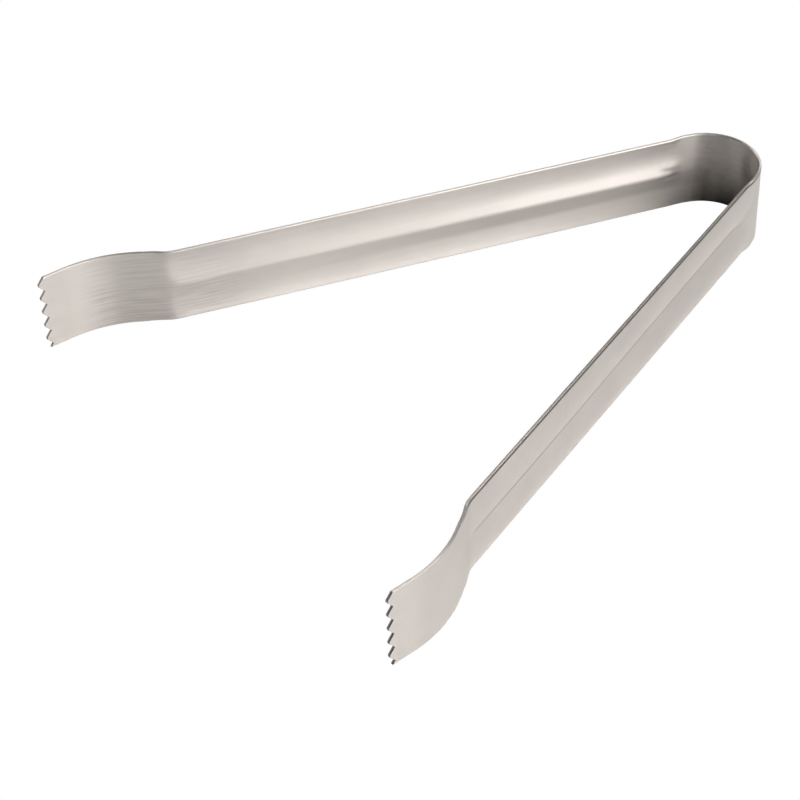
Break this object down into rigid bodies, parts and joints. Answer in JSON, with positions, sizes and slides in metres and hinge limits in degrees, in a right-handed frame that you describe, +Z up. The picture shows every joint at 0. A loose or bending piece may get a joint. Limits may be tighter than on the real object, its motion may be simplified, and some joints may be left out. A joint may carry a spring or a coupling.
{
  "type": "ice tongs",
  "caption": "Spring-steel ice tongs: a folded sheet strip with a round sprung bow, grooved stiffened arms, outward-cranked necks and toothed jaws.",
  "frame": {"origin": "on the surface that the tongs lie on, under the middle of their overall length, on the centre line between the arms", "axes": "+X from the bow to the jaws along the centre line, +Y to the left arm, +Z up across the strip's width"},
  "size_m": [0.1764, 0.143, 0.022],
  "materials": {
    "steel_bow": "satin rolled stainless sheet, bent",
    "steel_arms": "satin rolled stainless sheet, pressed",
    "steel_jaws": "satin rolled stainless sheet, fine lengthwise grain"
  },
  "bodies": {
    "bow": {"bow_crown": "steel_bow", "bow_inner_left": "steel_bow", "bow_inner_right": "steel_bow"},
    "arm_left": {"bow_outer_left": "steel_bow", "shoulder_left": "steel_bow", "arm_left": "steel_arms", "jaw_left": "steel_jaws"},
    "arm_right": {"bow_outer_right": "steel_bow", "shoulder_right": "steel_bow", "arm_right": "steel_arms", "jaw_right": "steel_jaws"}
  },
  "joints": [
    {"name": "left_squeeze", "type": "hinge", "parent": "bow", "child": "arm_left", "pos_m": [-0.08241, 0.01024, 0.011], "axis": [0, 0, -1], "range_deg": [0, 22.7], "stiffness_Nm_per_rad": 7.5},
    {"name": "right_squeeze", "type": "hinge", "parent": "bow", "child": "arm_right", "pos_m": [-0.08241, -0.01024, 0.011], "axis": [0, 0, 1], "range_deg": [0, 22.7], "stiffness_Nm_per_rad": 7.5}
  ],
  "couplings": [
    {"joint": "right_squeeze", "follows": "left_squeeze", "ratio": 1}
  ]
}
